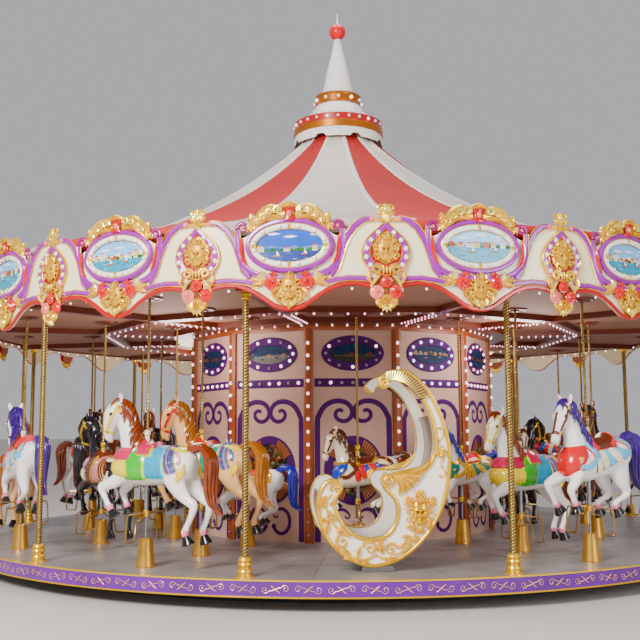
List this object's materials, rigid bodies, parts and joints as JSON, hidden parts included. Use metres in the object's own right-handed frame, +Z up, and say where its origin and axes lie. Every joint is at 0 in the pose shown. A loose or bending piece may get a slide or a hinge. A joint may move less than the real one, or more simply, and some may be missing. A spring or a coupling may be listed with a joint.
{
  "type": "fairground carousel",
  "caption": "Turning fairground carousel with rows of galloping horses, moon chariots, a panelled centre drum, scalloped rounding boards and a tented canopy.",
  "frame": {"origin": "on the ground, on the turning axis", "axes": "+Z up along the turning axis, -Y towards the front, where the first moon chariot stands"},
  "size_m": [10.413, 10.4126, 7.98],
  "materials": {
    "frame_steel": "satin",
    "deck_plate": "satin",
    "skirt_purple": "gloss",
    "drum_cream": "satin",
    "trim_brown": "gloss",
    "trim_brown_metal": "gloss",
    "ceiling_beige": "gloss",
    "pole_brass": "polished",
    "board_cream": "gloss",
    "board_purple": "gloss",
    "board_red": "gloss",
    "board_gold": "gloss",
    "bulb_white": "gloss",
    "canopy_fabric": "matte",
    "lantern_white": "gloss",
    "finial_red": "gloss",
    "chariot_ivory": "gloss",
    "horse_white": "gloss",
    "horse_black": "gloss",
    "horse_peach": "gloss",
    "horse_brown": "gloss"
  },
  "bodies": {
    "base": {"ground_frame": "frame_steel"},
    "turntable": {"turntable_frame": "frame_steel", "platform_deck": "deck_plate", "platform_skirt": "skirt_purple", "drum_panels": "drum_cream", "drum_frame": "trim_brown", "centre_mast": "frame_steel", "ceiling_frame": "trim_brown_metal", "ceiling_panels": "ceiling_beige", "rounding_boards": "board_cream", "canopy": "canopy_fabric", "lantern": "lantern_white", "spire": "lantern_white", "ball_finial": "finial_red", "moon_chariot_1": "chariot_ivory", "moon_chariot_2": "chariot_ivory", "outer_pole_1": "pole_brass", "outer_pole_2": "pole_brass", "outer_pole_3": "pole_brass", "outer_pole_4": "pole_brass", "outer_pole_5": "pole_brass", "outer_pole_6": "pole_brass", "outer_pole_7": "pole_brass", "outer_pole_8": "pole_brass", "outer_pole_9": "pole_brass", "outer_pole_10": "pole_brass", "outer_pole_11": "pole_brass", "outer_pole_12": "pole_brass"},
    "horses_a": {"horse_middle_2": "horse_peach", "horse_inner_3": "horse_black", "horse_outer_4": "horse_peach", "horse_middle_5": "horse_black", "horse_inner_6": "horse_brown", "horse_middle_8": "horse_brown", "horse_inner_9": "horse_white", "horse_outer_10": "horse_brown", "horse_middle_11": "horse_white", "horse_inner_12": "horse_white"},
    "horses_b": {"horse_inner_2": "horse_white", "horse_outer_3": "horse_white", "horse_middle_4": "horse_white", "horse_inner_5": "horse_peach", "horse_outer_6": "horse_white", "horse_inner_8": "horse_black", "horse_outer_9": "horse_peach", "horse_middle_10": "horse_black", "horse_inner_11": "horse_brown", "horse_outer_12": "horse_black"},
    "horses_c": {"horse_inner_1": "horse_brown", "horse_outer_2": "horse_black", "horse_middle_3": "horse_brown", "horse_inner_4": "horse_white", "horse_outer_5": "horse_brown", "horse_middle_6": "horse_white", "horse_inner_7": "horse_white", "horse_outer_8": "horse_white", "horse_middle_9": "horse_white", "horse_inner_10": "horse_peach", "horse_outer_11": "horse_white", "horse_middle_12": "horse_peach"}
  },
  "joints": [
    {"name": "turntable_spin", "type": "hinge", "parent": "base", "child": "turntable", "pos_m": [0, 0, 0.17], "axis": [0, 0, 1], "continuous": true},
    {"name": "horses_a_gallop", "type": "slide", "parent": "turntable", "child": "horses_a", "axis": [0, 0, 1], "range_m": [-0.03, 0.17]},
    {"name": "horses_b_gallop", "type": "slide", "parent": "turntable", "child": "horses_b", "axis": [0, 0, 1], "range_m": [-0.17, 0.03]},
    {"name": "horses_c_gallop", "type": "slide", "parent": "turntable", "child": "horses_c", "axis": [0, 0, 1], "range_m": [-0.18, 0.02]}
  ]
}
